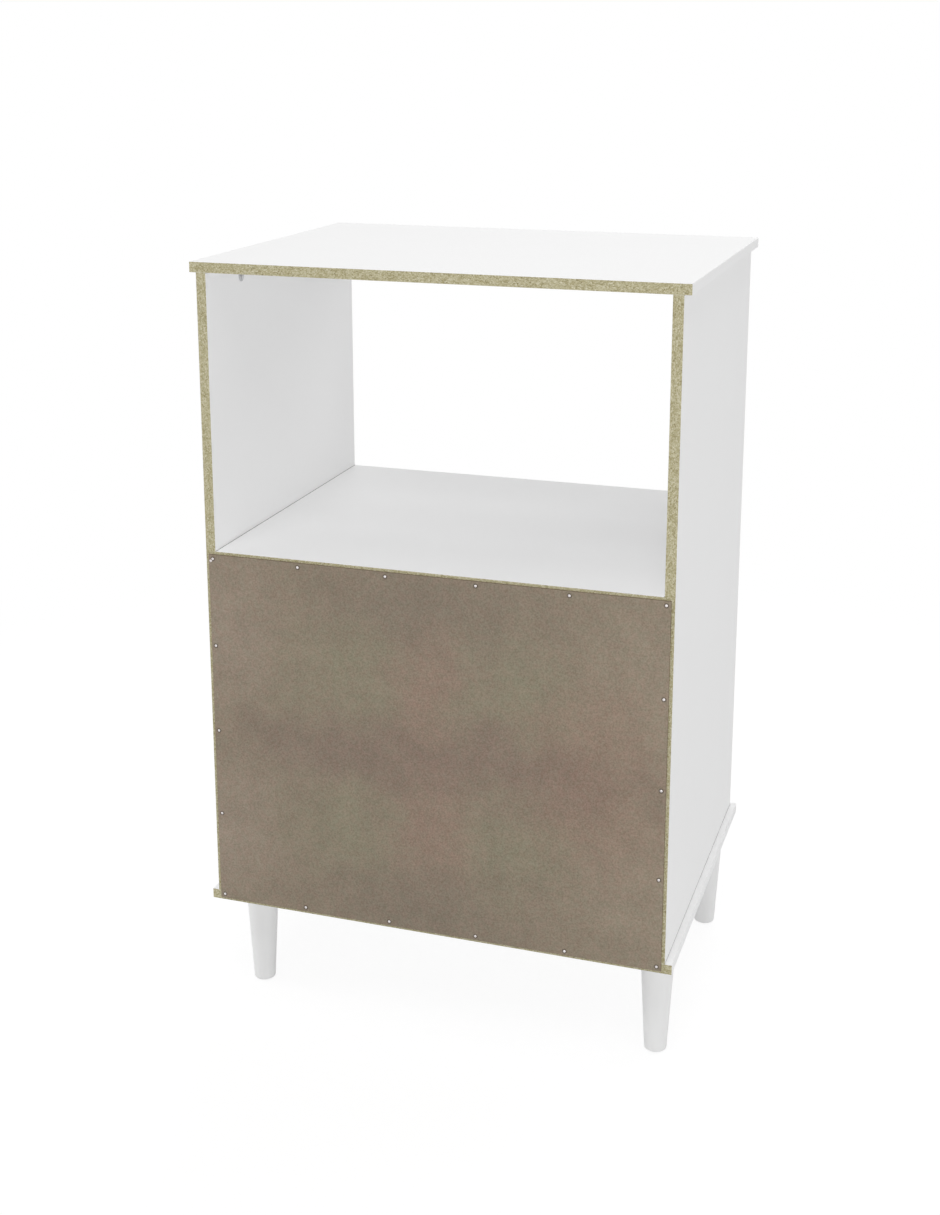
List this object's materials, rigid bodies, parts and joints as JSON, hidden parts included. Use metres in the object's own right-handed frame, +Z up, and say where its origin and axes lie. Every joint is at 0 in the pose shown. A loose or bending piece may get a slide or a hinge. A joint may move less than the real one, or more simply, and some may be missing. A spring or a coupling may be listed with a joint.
{
  "type": "microwave cabinet",
  "caption": "White board cabinet on tapered legs: an open microwave niche above a hardboard-backed compartment with inset hinged doors.",
  "frame": {"origin": "on the floor, under the middle of the cabinet's box", "axes": "+X to the right seen from the doors, +Y to the nailed back, +Z up"},
  "size_m": [0.72, 0.5728, 1.17],
  "materials": {
    "white_board": "white melamine on chipboard, satin, raw rear edges",
    "hardboard": "bare brown hardboard, matt",
    "nail_steel": "bright wire nail heads",
    "leg_lacquer": "turned wood, white lacquer",
    "glide_plastic": "moulded plastic, matt",
    "dowel_wood": "fluted beech dowel",
    "knob_metal": "satin turned metal",
    "catch_plastic": "white moulded plastic",
    "magnet_ferrite": "sintered ferrite, dark grey, matt",
    "cam_zinc": "die-cast zinc, dull",
    "plated_steel": "nickel-plated steel"
  },
  "bodies": {
    "cabinet": {"back_nails": "nail_steel", "back_panel": "hardboard", "bottom_panel": "white_board", "cam_bolts": "plated_steel", "cam_locks": "cam_zinc", "catch_magnets": "magnet_ferrite", "catch_poles": "plated_steel", "catch_screws": "plated_steel", "dowels": "dowel_wood", "front_left_leg": "leg_lacquer", "front_left_leg_plate": "plated_steel", "front_right_leg": "leg_lacquer", "front_right_leg_plate": "plated_steel", "hinge_plate_screws": "plated_steel", "inner_shelf": "white_board", "left_lower_hinge_arm": "plated_steel", "left_lower_hinge_plate": "plated_steel", "left_side_panel": "white_board", "left_upper_hinge_arm": "plated_steel", "left_upper_hinge_plate": "plated_steel", "leg_bolts": "plated_steel", "leg_glides": "glide_plastic", "leg_plate_screws": "plated_steel", "magnet_catches": "catch_plastic", "niche_shelf": "white_board", "rear_left_leg": "leg_lacquer", "rear_left_leg_plate": "plated_steel", "rear_right_leg": "leg_lacquer", "rear_right_leg_plate": "plated_steel", "right_lower_hinge_arm": "plated_steel", "right_lower_hinge_plate": "plated_steel", "right_side_panel": "white_board", "right_upper_hinge_arm": "plated_steel", "right_upper_hinge_plate": "plated_steel", "shelf_pins": "plated_steel", "top_panel": "white_board"},
    "left_door": {"left_cup_screws": "plated_steel", "left_door": "white_board", "left_knob": "knob_metal", "left_knob_screw": "plated_steel", "left_lower_hinge_cup": "plated_steel", "left_lower_hinge_pin": "plated_steel", "left_strike_plate": "plated_steel", "left_strike_screw": "plated_steel", "left_upper_hinge_cup": "plated_steel", "left_upper_hinge_pin": "plated_steel"},
    "right_door": {"right_cup_screws": "plated_steel", "right_door": "white_board", "right_knob": "knob_metal", "right_knob_screw": "plated_steel", "right_lower_hinge_cup": "plated_steel", "right_lower_hinge_pin": "plated_steel", "right_strike_plate": "plated_steel", "right_strike_screw": "plated_steel", "right_upper_hinge_cup": "plated_steel", "right_upper_hinge_pin": "plated_steel"}
  },
  "joints": [
    {"name": "left_door_hinge", "type": "hinge", "parent": "cabinet", "child": "left_door", "pos_m": [-0.32188, -0.2554, 0.463], "axis": [0, 0, -1], "range_deg": [0, 110]},
    {"name": "right_door_hinge", "type": "hinge", "parent": "cabinet", "child": "right_door", "pos_m": [0.32188, -0.2554, 0.463], "axis": [0, 0, 1], "range_deg": [0, 110]}
  ]
}
